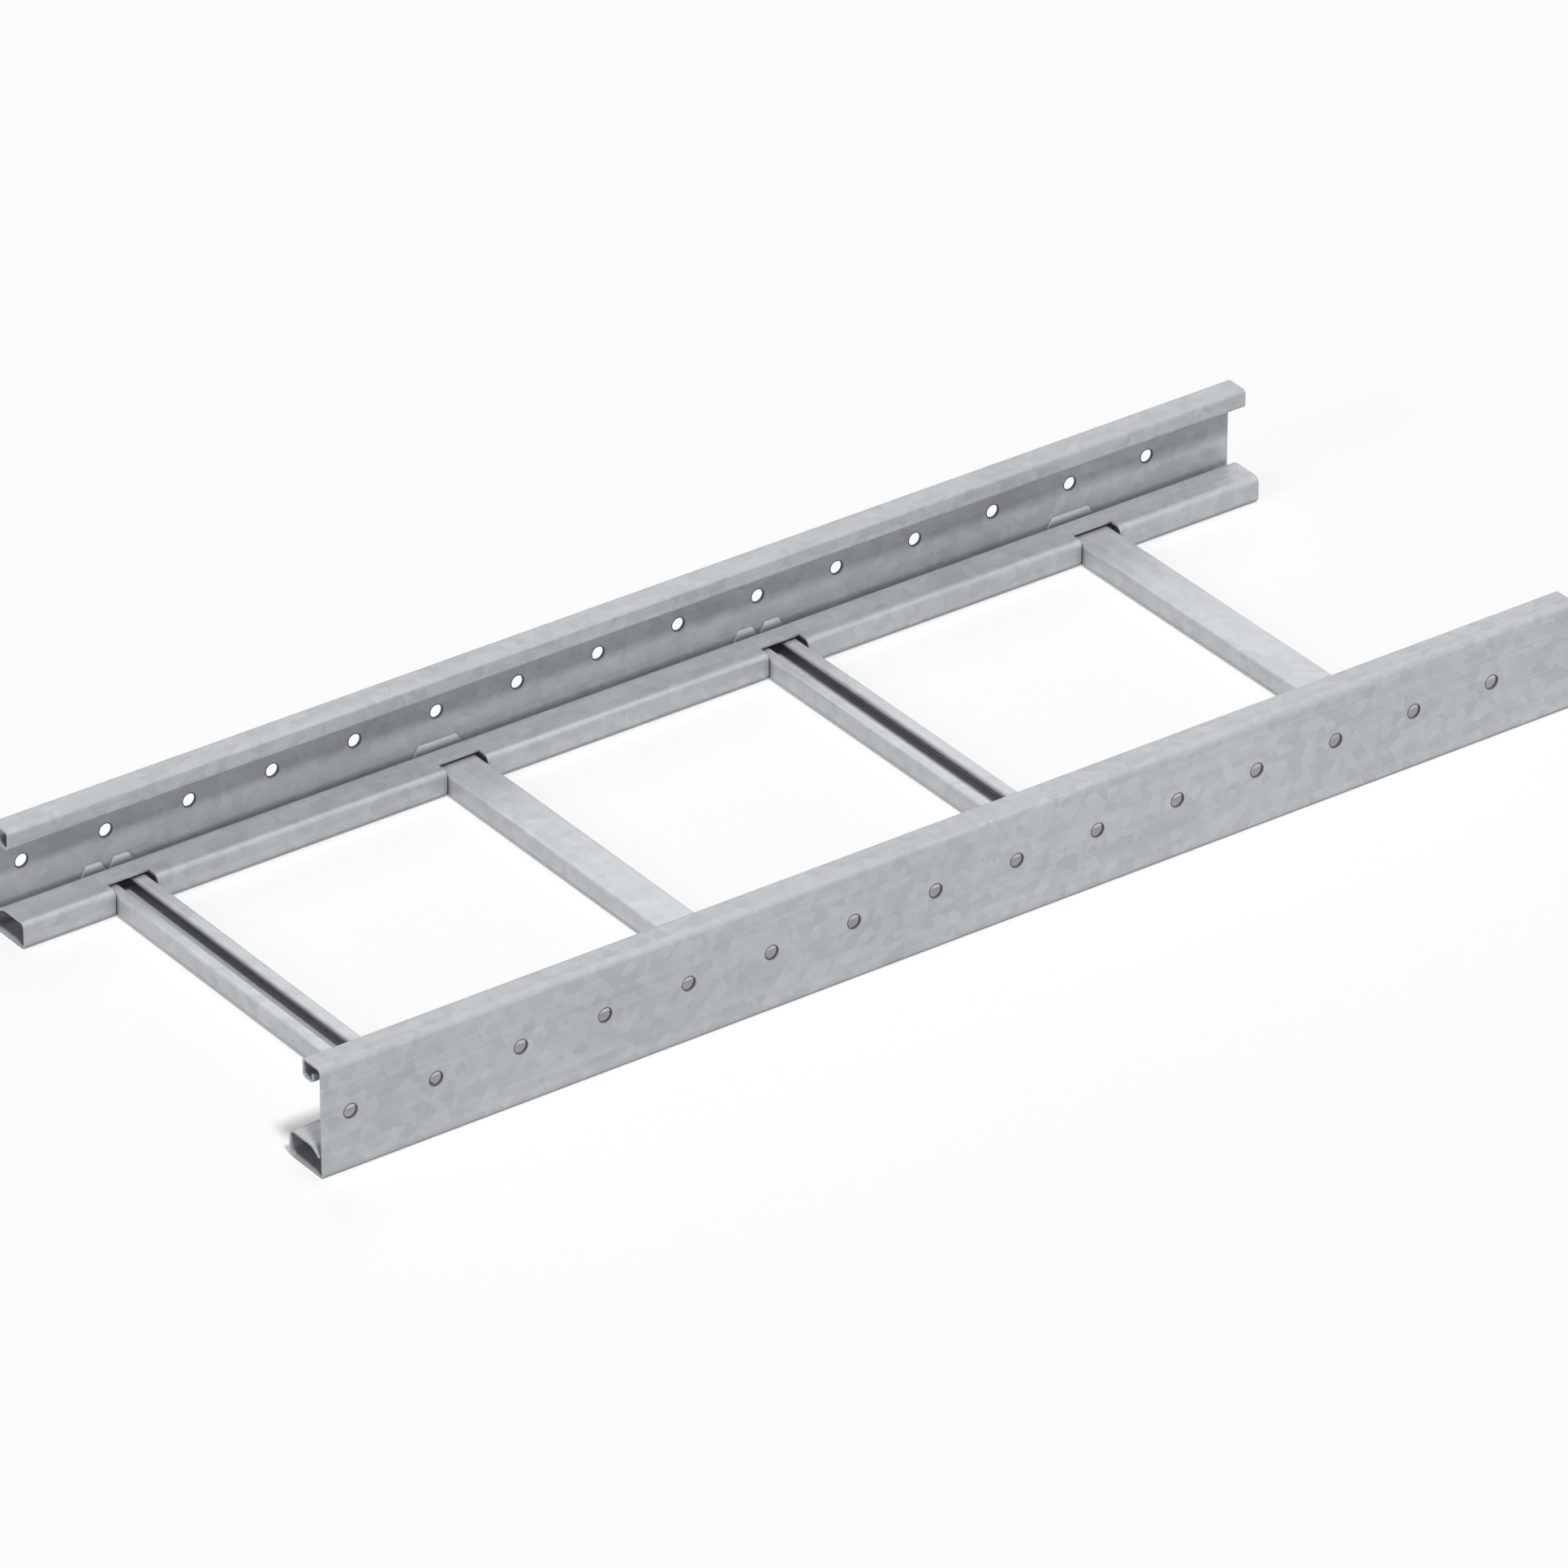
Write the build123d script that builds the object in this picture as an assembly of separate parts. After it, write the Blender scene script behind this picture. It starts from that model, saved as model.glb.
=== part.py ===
from build123d import *
import os
from math import ceil, cos, floor, radians, sin, tan

# Cable ladder section: two mirrored roll-formed side rails joined by four channel rungs.
# Millimetres. X runs along the rails, Y across the ladder, Z up from the face it lies on.
# The origin is the middle of the underside. The front rail is at -Y, rung 1 at -X.

# Ladder layout
overall_width = 436.0       # across the outer faces of the two webs
rung_pitch = 300.0
end_before = 100.0          # left end of the rails to the middle of rung 1
end_after = 155.0           # middle of rung 4 to the right end of the rails
rung_count = 4

# Side rail section
rail_height = 93.0
rail_sheet = 2.0
flange_width = 24.0         # top flange, outer face of the web to outer face of the lip
lip_depth = 16.5
hem_width = 14.0            # hook at the foot of the lip, turned back towards the web
hem_height = 7.5
box_width = 43.0            # lower box, outer face of the web to its inner wall
box_height = 23.5
tip_run = 9.0               # sloping edge of the box top, measured across the ladder
tip_angle = 35.0
tip_gap = 2.0               # between that edge and the inner face of the web
crest_radius = 14.0         # the box top turns down into its sloping edge in one soft arc
web_top_radius = 5.0        # outer bend radii
lip_radius = 3.5
hem_radius = 4.0
web_foot_radius = 3.0
box_radius = 6.0

# Web holes
hole_diameter = 11.0
hole_height = 50.0
holes_per_bay = 4
hole_end_margin = 20.0      # no hole nearer to a rail end than this

# Rung section
rung_width = 36.0
rung_sheet = 1.5
rung_radius = 2.5
rung_headroom = 2.5         # between the rung and the underside of the box top
slot_width = 14.0
slot_edge = 3.5             # depth of the turned-in slot edges

# Rung seat in the box wall
seat_clearance = 1.0        # each side of the rung
seat_reach = 13.0           # how far the cut-out runs in over the box top

# Rung end tabs, bent up between the box edge and the web
wall_setback = 14.0         # rung walls stop this far from the web
tab_fit = 0.4               # strip to the underside of the box edge
tab_rise = 8.0              # tab top above the box edge
tab_bend = 0.8              # inner bend radius
plain_tab_base = 44.0
plain_tab_top = 35.0
twin_tab_base = 21.0
twin_tab_top = 13.0
twin_tab_gap = 4.0
tab_corner = 2.0

rail_length = end_before + (rung_count - 1) * rung_pitch + end_after
rung_height = box_height - 2 * rail_sheet - rung_headroom
hole_pitch = rung_pitch / holes_per_bay
web_inside = overall_width / 2 - rail_sheet
left_end = -rail_length / 2


def bent_sheet(points, radii, sheet):
    """Section of a bent sheet in the YZ plane: its outer line, thickened to the left."""
    with BuildSketch(Plane.YZ) as section:
        with BuildLine():
            FilletPolyline(*points, radius=radii)
            offset(amount=sheet, side=Side.LEFT)
        make_face()
    return section.sketch


# The edge of the box top drops over tip_run and stops tip_gap short of the web.
tip_y = rail_sheet + tip_gap
tip_z = box_height - tip_run * tan(radians(tip_angle))

# Outer line of the front rail, with Y counted from the outer face of its web.
rail_points = [
    (flange_width - hem_width, rail_height - lip_depth + hem_height),
    (flange_width - hem_width, rail_height - lip_depth),
    (flange_width, rail_height - lip_depth),
    (flange_width, rail_height),
    (0, rail_height),
    (0, 0),
    (box_width, 0),
    (box_width, box_height),
    (tip_y + tip_run, box_height),
    (tip_y, tip_z),
]
rail_radii = [hem_radius, hem_radius, lip_radius, web_top_radius,
              web_foot_radius, box_radius, box_radius, crest_radius]


def rung_x(number):
    return left_end + end_before + (number - 1) * rung_pitch


def side_rail():
    """Front rail: one bent section, its row of web holes and the four rung seats."""
    section = bent_sheet(rail_points, rail_radii, rail_sheet)
    rail = extrude(section, amount=rail_length)
    rail = Pos(left_end, -overall_width / 2, 0) * rail
    first = ceil((hole_end_margin - end_before) / hole_pitch)
    last = floor((rail_length - end_before - hole_end_margin) / hole_pitch)
    for step in range(first, last + 1):
        x = rung_x(1) + step * hole_pitch
        hole = Cylinder(hole_diameter / 2, 3 * rail_sheet, rotation=(90, 0, 0))
        rail -= Pos(x, -overall_width / 2 + rail_sheet / 2, hole_height) * hole
    seat_width = rung_width + 2 * seat_clearance
    seat = Box(seat_width, seat_reach + rail_sheet, box_height,
               align=(Align.CENTER, Align.MAX, Align.MIN))
    seat_y = -overall_width / 2 + box_width + rail_sheet
    for number in range(1, rung_count + 1):
        rail -= Pos(rung_x(number), seat_y, rail_sheet) * seat
    return rail


def rung_body():
    """Slotted channel between the two tab roots, slot up, with its middle at X = 0."""
    half = rung_width / 2
    edge = slot_width / 2
    low = rail_sheet
    high = rail_sheet + rung_height
    channel = [
        (-edge, high - slot_edge),
        (-edge, high),
        (-half, high),
        (-half, low),
        (half, low),
        (half, high),
        (edge, high),
        (edge, high - slot_edge),
    ]
    length = 2 * (web_inside - wall_setback)
    with BuildSketch(Plane.XZ.offset(-length / 2)) as section:
        with BuildLine():
            FilletPolyline(*channel, radius=rung_radius)
            offset(amount=rung_sheet, side=Side.LEFT)
        make_face()
    return extrude(section.sketch, amount=length)


def tab_strip():
    """Top strip of a rung end: along the rung, down under the box edge and up to the tab."""
    high = rail_sheet + rung_height
    slope = tan(radians(tip_angle))
    face = rail_sheet + rung_sheet
    under_y = tip_y + rail_sheet * sin(radians(tip_angle))
    under_z = tip_z - rail_sheet * cos(radians(tip_angle))
    strip_z = under_z - tab_fit / cos(radians(tip_angle))
    knee_y = under_y + (high - strip_z) / slope
    foot_z = strip_z - (under_y - face) * slope
    points = [
        (rail_sheet + wall_setback, high),
        (knee_y, high),
        (face, foot_z),
        (face, tip_z + tab_rise),
    ]
    strip = bent_sheet(points, [rung_sheet + tab_bend, tab_bend], rung_sheet)
    reach = plain_tab_base + twin_tab_base
    strip = extrude(strip, amount=reach / 2, both=True)
    return Pos(0, -overall_width / 2, 0) * strip


def tab_outline(inner_root, outer_root, base_inner, base_outer, top_inner, top_outer):
    """Plan and front outline of one tab, as two prisms whose overlap trims the strip."""
    root = -web_inside + wall_setback
    neck = -web_inside + wall_setback / 2
    plan = make_face(Polyline(
        (inner_root, root), (outer_root, root), (base_outer, neck),
        (base_outer, -web_inside), (base_inner, -web_inside), (base_inner, neck), close=True))
    plan = extrude(plan, amount=box_height + 2 * tab_rise)
    top = tip_z + tab_rise
    front = Plane.XZ * make_face(FilletPolyline(
        (base_inner, 0), (base_outer, 0), (base_outer, tip_z),
        (top_outer, top), (top_inner, top), (base_inner, tip_z),
        radius=[0, 0, tab_corner, tab_corner, tab_corner, tab_corner], close=True))
    front = extrude(front, amount=overall_width / 2 + 1)
    return plan & front


def rung(number):
    """Channel with its end tabs: odd rungs lie slot up, even rungs slot down."""
    slot_up = number % 2 == 1
    if slot_up:
        lip = slot_width / 2 + rung_sheet / 2
        inner = twin_tab_gap / 2
        middle = inner + twin_tab_base / 2
        tab = tab_outline(lip, rung_width / 2 - rung_sheet / 2, inner, inner + twin_tab_base,
                          middle - twin_tab_top / 2, middle + twin_tab_top / 2)
        trim = tab + mirror(tab, about=Plane.YZ)
        channel = rung_body()
    else:
        lip = rung_width / 2 - rung_sheet / 2
        trim = tab_outline(-lip, lip, -plain_tab_base / 2, plain_tab_base / 2,
                           -plain_tab_top / 2, plain_tab_top / 2)
        middle_height = rail_sheet + rung_height / 2
        channel = Pos(0, 0, middle_height) * Rot(0, 180, 0) * Pos(0, 0, -middle_height) * rung_body()
    ends = tab_strip() & trim
    solid = channel + ends + mirror(ends, about=Plane.XZ)
    return Pos(rung_x(number), 0, 0) * solid


def save(node, shape):
    shape.label = node
    export_step(shape, "parts/" + node + ".step")


os.makedirs("parts", exist_ok=True)
front_rail = side_rail()
save("side_rail_front", front_rail)
save("side_rail_rear", mirror(front_rail, about=Plane.XZ))
for number in range(1, rung_count + 1):
    save("rung_" + str(number), rung(number))
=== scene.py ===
import math

import bpy
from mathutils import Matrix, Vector

# Looks of the cable ladder section: galvanised steel on every solid of the frame.
# Metres and degrees. X runs along the rails, Y across the ladder, Z up from the floor.

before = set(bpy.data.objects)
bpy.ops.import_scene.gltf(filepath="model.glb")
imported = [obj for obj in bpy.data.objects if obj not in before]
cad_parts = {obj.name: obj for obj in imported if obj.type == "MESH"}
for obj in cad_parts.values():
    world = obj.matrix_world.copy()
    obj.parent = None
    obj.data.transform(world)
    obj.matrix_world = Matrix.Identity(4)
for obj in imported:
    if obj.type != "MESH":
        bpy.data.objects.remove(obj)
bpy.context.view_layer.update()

RAILS = ("side_rail_front", "side_rail_rear")
RUNGS = ("rung_1", "rung_2", "rung_3", "rung_4")

# Camera, as the drawing sees the ladder
CAMERA_PLACE = (-5.2528, -7.2490, 5.3239)
CAMERA_AZIMUTH = -35.883
CAMERA_ELEVATION = 30.608
CAMERA_LENS = 316.77
CAMERA_SENSOR = 36.0
CAMERA_CLIP = (0.1, 100.0)

# Suns: name, azimuth, elevation, strength, angular width
SUNS = (
    ("key", -14.0, 57.0, 2.5, 8.0),
    ("side", -82.0, 25.0, 0.4, 20.0),
    ("back", 150.0, 50.0, 0.25, 30.0),
)
SUN_DISTANCE = 3.0

# Studio: light of the background on the ladder, and the floor's tone, glow and size
AMBIENT = 0.17
FLOOR_TONE = 0.7
FLOOR_GLOW = 0.30
FLOOR_SIZE = 30.0

# Zinc: the darkest and lightest of the rails and of the rungs, then where it changes: edges
# brightened partly by wear and partly by a painted highlight, painted shade in corners and
# holes, and a painted highlight on the tabs
RAIL_ZINC = ((0.37, 0.39, 0.41, 1.0), (0.55, 0.57, 0.59, 1.0))
RUNG_ZINC = ((0.48, 0.50, 0.52, 1.0), (0.66, 0.68, 0.70, 1.0))
EDGE_WEAR_AND_HIGHLIGHT = (0.76, 0.78, 0.80, 1.0)
PAINTED_CORNER_SHADE = (0.10, 0.105, 0.11, 1.0)
PAINTED_HOLE_SHADE = (0.035, 0.037, 0.04, 1.0)
PAINTED_TAB_HIGHLIGHT = (0.84, 0.86, 0.88, 1.0)

# Crystals, clouds and rolling marks, and the share that each has in the tone
CRYSTAL = 0.009             # width of one zinc crystal
CRYSTAL_WARP = 0.35         # how far its border strays, in crystal widths
CRYSTAL_TILT = 0.05
WARP_SCALE = 140.0
CLOUD_SCALE = 5.0
ROLLED_ALONG = 2.0
ROLLED_ACROSS = 260.0
CRYSTAL_SHARE = 0.42
CLOUD_SHARE = 0.30
MARK_SHARE = 0.28
NOISE_RANGE = (0.3, 0.7)    # where nearly all values of a noise lie
NOISE_MIDDLE = (0.5, 0.5, 0.5)
RAIL_SHIFT = 3.0            # moves the pattern on from one rail to the next
RUNG_SHIFT = 0.37
RUNG_LIFT = 1.0

# Surface
METALLIC = 0.3
ROUGHNESS = (0.37, 0.49)    # of the smoothest and the roughest crystal
MARK_ROUGHNESS = 0.04
MARK_BUMP = 0.12
MARK_DEPTH = 0.0004

# Cut edges brighten, partly as rubbed zinc and partly as a painted highlight, as the cosine
# between the flat and the rounded normal falls
EDGE_WIDTH = 0.0007
EDGE_TURN = (0.97, 0.85)
EDGE_SHARE = 0.75
EDGE_SAMPLES = 6

# Painted shade: inside corners darken where little of the air nearby is open
CORNER_REACH = 0.006
CORNER_AIR = (0.86, 0.40)
CORNER_SHARE = 0.85
CORNER_SAMPLES = 4

# Web holes of the rails, with painted shade on their walls and in a ring round them
HOLE_START = -0.5525
HOLE_END = 0.4975
HOLE_PITCH = 0.075
HOLE_HEIGHT = 0.050
HOLE_RADIUS = 0.0055
HOLE_RIM = 0.0006           # painted shade: a dark ring on the web round each hole
HOLE_SHARE = 0.9

# Tabs of the rungs, lightened with a painted highlight
TAB_INSIDE = 0.2140         # they stand outside this distance from the middle
TAB_SHARE = 0.8


class Nodes:
    """A short way to add and join the nodes of one tree."""

    def __init__(self, tree):
        self.tree = tree
        self.tree.nodes.clear()

    def add(self, kind, inputs=None, **settings):
        node = self.tree.nodes.new(kind)
        for key, value in settings.items():
            setattr(node, key, value)
        for key, value in (inputs or {}).items():
            if isinstance(value, bpy.types.NodeSocket):
                self.tree.links.new(value, node.inputs[key])
            else:
                node.inputs[key].default_value = value
        return node

    def math(self, operation, first, second=0.0, third=0.0, clamp=False):
        inputs = {0: first, 1: second, 2: third}
        node = self.add("ShaderNodeMath", inputs, operation=operation, use_clamp=clamp)
        return node.outputs[0]

    def vector(self, operation, first, second=(0.0, 0.0, 0.0)):
        node = self.add("ShaderNodeVectorMath", {0: first, 1: second}, operation=operation)
        return node.outputs["Value" if operation == "DOT_PRODUCT" else "Vector"]

    def centred(self, colour, factor):
        """A noise colour as a vector round zero, times factor."""
        away = self.vector("SUBTRACT", colour, NOISE_MIDDLE)
        node = self.add("ShaderNodeVectorMath", {0: away, "Scale": factor}, operation="SCALE")
        return node.outputs[0]

    def spread(self, value, span, to_low, to_high):
        """Value mapped from that span to between to_low and to_high, and held there."""
        node = self.add("ShaderNodeMapRange", {
            "Value": value, "From Min": span[0], "From Max": span[1],
            "To Min": to_low, "To Max": to_high})
        return node.outputs[0]

    def noise(self, output, place, scale, detail):
        inputs = {"Vector": place, "Scale": scale, "Detail": detail}
        return self.add("ShaderNodeTexNoise", inputs).outputs[output]

    def mix(self, share, first, second):
        inputs = {"Factor": share, "A": first, "B": second}
        return self.add("ShaderNodeMix", inputs, data_type="RGBA").outputs["Result"]

    def parts(self, place):
        return self.add("ShaderNodeSeparateXYZ", {"Vector": place}).outputs


def at_holes(n, place):
    """1 on the walls of the web holes and on a thin ring round them, else 0: where the painted
    hole shade goes.
    """
    x, _, z = n.parts(place)
    along = n.math("SUBTRACT", x, HOLE_START)
    along = n.math("WRAP", along, HOLE_PITCH / 2, -HOLE_PITCH / 2)
    above = n.math("SUBTRACT", z, HOLE_HEIGHT)
    squares = n.math("ADD", n.math("MULTIPLY", along, along), n.math("MULTIPLY", above, above))
    rim = (HOLE_RADIUS + HOLE_RIM, HOLE_RADIUS + 2 * HOLE_RIM)
    ring = n.spread(n.math("SQRT", squares), rim, 1.0, 0.0)
    return n.math("MULTIPLY", ring, n.math("LESS_THAN", x, HOLE_END + HOLE_PITCH / 2))


def at_tabs(n, place):
    """1 on the tabs that stand against the webs, else 0: where the painted tab highlight goes.
    """
    _, y, _ = n.parts(place)
    return n.math("GREATER_THAN", n.math("ABSOLUTE", y), TAB_INSIDE)


def zinc_crystals(n, place):
    """A random colour for each crystal."""
    warp = n.noise("Color", place, WARP_SCALE, 2.0)
    warp = n.centred(warp, CRYSTAL_WARP * CRYSTAL)
    crystals = n.add("ShaderNodeTexVoronoi", {
        "Vector": n.vector("ADD", place, warp), "Scale": 1.0 / CRYSTAL, "Randomness": 1.0})
    return crystals.outputs["Color"]


def zinc_colour(n, spot, normal, tone, zinc, rail):
    """Zinc of that tone, with a painted highlight on the tabs, painted shade in inside corners
    and holes, and cut edges brightened partly by wear and partly by a painted highlight.
    """
    colour = n.mix(tone, *zinc)
    if not rail:
        # painted highlight: the tabs lighter than the web behind them
        colour = n.mix(n.math("MULTIPLY", at_tabs(n, spot), TAB_SHARE), colour, PAINTED_TAB_HIGHLIGHT)
    # painted shade: darker in inside corners, seams and along the floor contact, found by
    # ambient occlusion
    air = n.add("ShaderNodeAmbientOcclusion", {"Distance": CORNER_REACH}, samples=CORNER_SAMPLES)
    corner_shade = n.spread(air.outputs["AO"], CORNER_AIR, 0.0, CORNER_SHARE)
    colour = n.mix(corner_shade, colour, PAINTED_CORNER_SHADE)
    # edges brightened: partly rubbed zinc, partly a painted highlight
    bevel = n.add("ShaderNodeBevel", {"Radius": EDGE_WIDTH}, samples=EDGE_SAMPLES)
    turn = n.vector("DOT_PRODUCT", normal, bevel.outputs["Normal"])
    colour = n.mix(n.spread(turn, EDGE_TURN, 0.0, EDGE_SHARE), colour, EDGE_WEAR_AND_HIGHLIGHT)
    if rail:
        # painted shade on the hole walls and in a ring round each hole
        colour = n.mix(n.math("MULTIPLY", at_holes(n, spot), HOLE_SHARE), colour, PAINTED_HOLE_SHADE)
    return colour


def galvanise(node, zinc, rolled, shift, rail):
    """Give one node zinc: crystals, faint marks along the rolled direction, brighter edges that
    are partly wear and partly a painted highlight, and painted shade in corners.
    """
    material = bpy.data.materials.new(node + "_zinc")
    material.use_nodes = True
    n = Nodes(material.node_tree)
    spot = n.add("ShaderNodeTexCoord").outputs["Object"]
    normal = n.add("ShaderNodeNewGeometry").outputs["Normal"]
    place = n.vector("ADD", spot, shift)

    crystals = zinc_crystals(n, place)
    shade = n.add("ShaderNodeSeparateColor", {"Color": crystals})
    marks = n.noise("Fac", n.vector("MULTIPLY", place, rolled), 1.0, 3.0)
    clouds = n.noise("Fac", place, CLOUD_SCALE, 3.0)

    tone = n.math("MULTIPLY", shade.outputs["Red"], CRYSTAL_SHARE)
    tone = n.math("ADD", tone, n.spread(clouds, NOISE_RANGE, 0.0, CLOUD_SHARE))
    tone = n.math("ADD", tone, n.spread(marks, NOISE_RANGE, 0.0, MARK_SHARE), clamp=True)

    roughness = n.spread(shade.outputs["Green"], (0.0, 1.0), *ROUGHNESS)
    streaks = n.spread(marks, NOISE_RANGE, -MARK_ROUGHNESS, MARK_ROUGHNESS)

    facing = n.vector("ADD", normal, n.centred(crystals, CRYSTAL_TILT))
    bump = n.add("ShaderNodeBump", {
        "Height": marks, "Strength": MARK_BUMP, "Distance": MARK_DEPTH,
        "Normal": n.vector("NORMALIZE", facing)})

    shader = n.add("ShaderNodeBsdfPrincipled", {
        "Base Color": zinc_colour(n, spot, normal, tone, zinc, rail),
        "Metallic": METALLIC,
        "Roughness": n.math("ADD", roughness, streaks),
        "Normal": bump.outputs[0]})
    n.add("ShaderNodeOutputMaterial", {"Surface": shader.outputs[0]})
    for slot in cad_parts[node].material_slots:
        slot.material = material


def shows_background(n):
    """1 for the rays that show the background: to the camera, off metal and through glass."""
    path = n.add("ShaderNodeLightPath")
    seen = n.math("MAXIMUM", path.outputs["Is Camera Ray"], path.outputs["Is Glossy Ray"])
    return n.math("MAXIMUM", seen, path.outputs["Is Transmission Ray"])


def make_world():
    world = bpy.data.worlds.new("studio")
    bpy.context.scene.world = world
    world.use_nodes = True
    n = Nodes(world.node_tree)
    level = n.spread(shows_background(n), (0.0, 1.0), AMBIENT, 1.0)
    sky = n.add("ShaderNodeBackground", {"Color": (1.0, 1.0, 1.0, 1.0), "Strength": level})
    n.add("ShaderNodeOutputWorld", {"Surface": sky.outputs[0]})


def make_floor():
    half = FLOOR_SIZE / 2
    mesh = bpy.data.meshes.new("floor")
    corners = [(-half, -half, 0.0), (half, -half, 0.0), (half, half, 0.0), (-half, half, 0.0)]
    mesh.from_pydata(corners, [], [(0, 1, 2, 3)])
    floor = bpy.data.objects.new("floor", mesh)
    bpy.context.scene.collection.objects.link(floor)
    material = bpy.data.materials.new("floor")
    material.use_nodes = True
    n = Nodes(material.node_tree)
    matt = n.add("ShaderNodeBsdfDiffuse", {"Color": (FLOOR_TONE, FLOOR_TONE, FLOOR_TONE, 1.0)})
    glow = n.math("MULTIPLY", shows_background(n), FLOOR_GLOW)
    pale = n.add("ShaderNodeEmission", {"Strength": glow})
    both = n.add("ShaderNodeAddShader", {0: matt.outputs[0], 1: pale.outputs[0]})
    n.add("ShaderNodeOutputMaterial", {"Surface": both.outputs[0]})
    mesh.materials.append(material)


def back_towards(azimuth, elevation):
    """Unit vector from the object towards a camera or sun at that azimuth and elevation."""
    a, e = math.radians(azimuth), math.radians(elevation)
    return Vector((math.sin(a) * math.cos(e), -math.cos(a) * math.cos(e), math.sin(e)))


def make_sun(name, azimuth, elevation, strength, width):
    sun = bpy.data.lights.new(name, "SUN")
    sun.energy = strength
    sun.angle = math.radians(width)
    holder = bpy.data.objects.new(name, sun)
    back = back_towards(azimuth, elevation)
    holder.rotation_mode = "QUATERNION"
    holder.rotation_quaternion = back.to_track_quat("Z", "Y")
    holder.location = back * SUN_DISTANCE
    bpy.context.scene.collection.objects.link(holder)


def make_camera():
    data = bpy.data.cameras.new("camera")
    data.sensor_width = CAMERA_SENSOR
    data.lens = CAMERA_LENS
    data.clip_start, data.clip_end = CAMERA_CLIP
    camera = bpy.data.objects.new("camera", data)
    camera.location = CAMERA_PLACE
    camera.rotation_mode = "QUATERNION"
    towards = -back_towards(CAMERA_AZIMUTH, CAMERA_ELEVATION)
    camera.rotation_quaternion = towards.to_track_quat("-Z", "Y")
    bpy.context.scene.collection.objects.link(camera)
    bpy.context.scene.camera = camera


for number, node in enumerate(RAILS):
    rolled = (ROLLED_ALONG, ROLLED_ACROSS, ROLLED_ACROSS)
    galvanise(node, RAIL_ZINC, rolled, (0.0, RAIL_SHIFT * number, 0.0), rail=True)
for number, node in enumerate(RUNGS):
    rolled = (ROLLED_ACROSS, ROLLED_ALONG, ROLLED_ACROSS)
    galvanise(node, RUNG_ZINC, rolled, (0.0, RUNG_SHIFT * number, RUNG_LIFT), rail=False)

make_world()
make_floor()
for sun in SUNS:
    make_sun(*sun)
make_camera()
bpy.context.scene.view_settings.view_transform = "Standard"
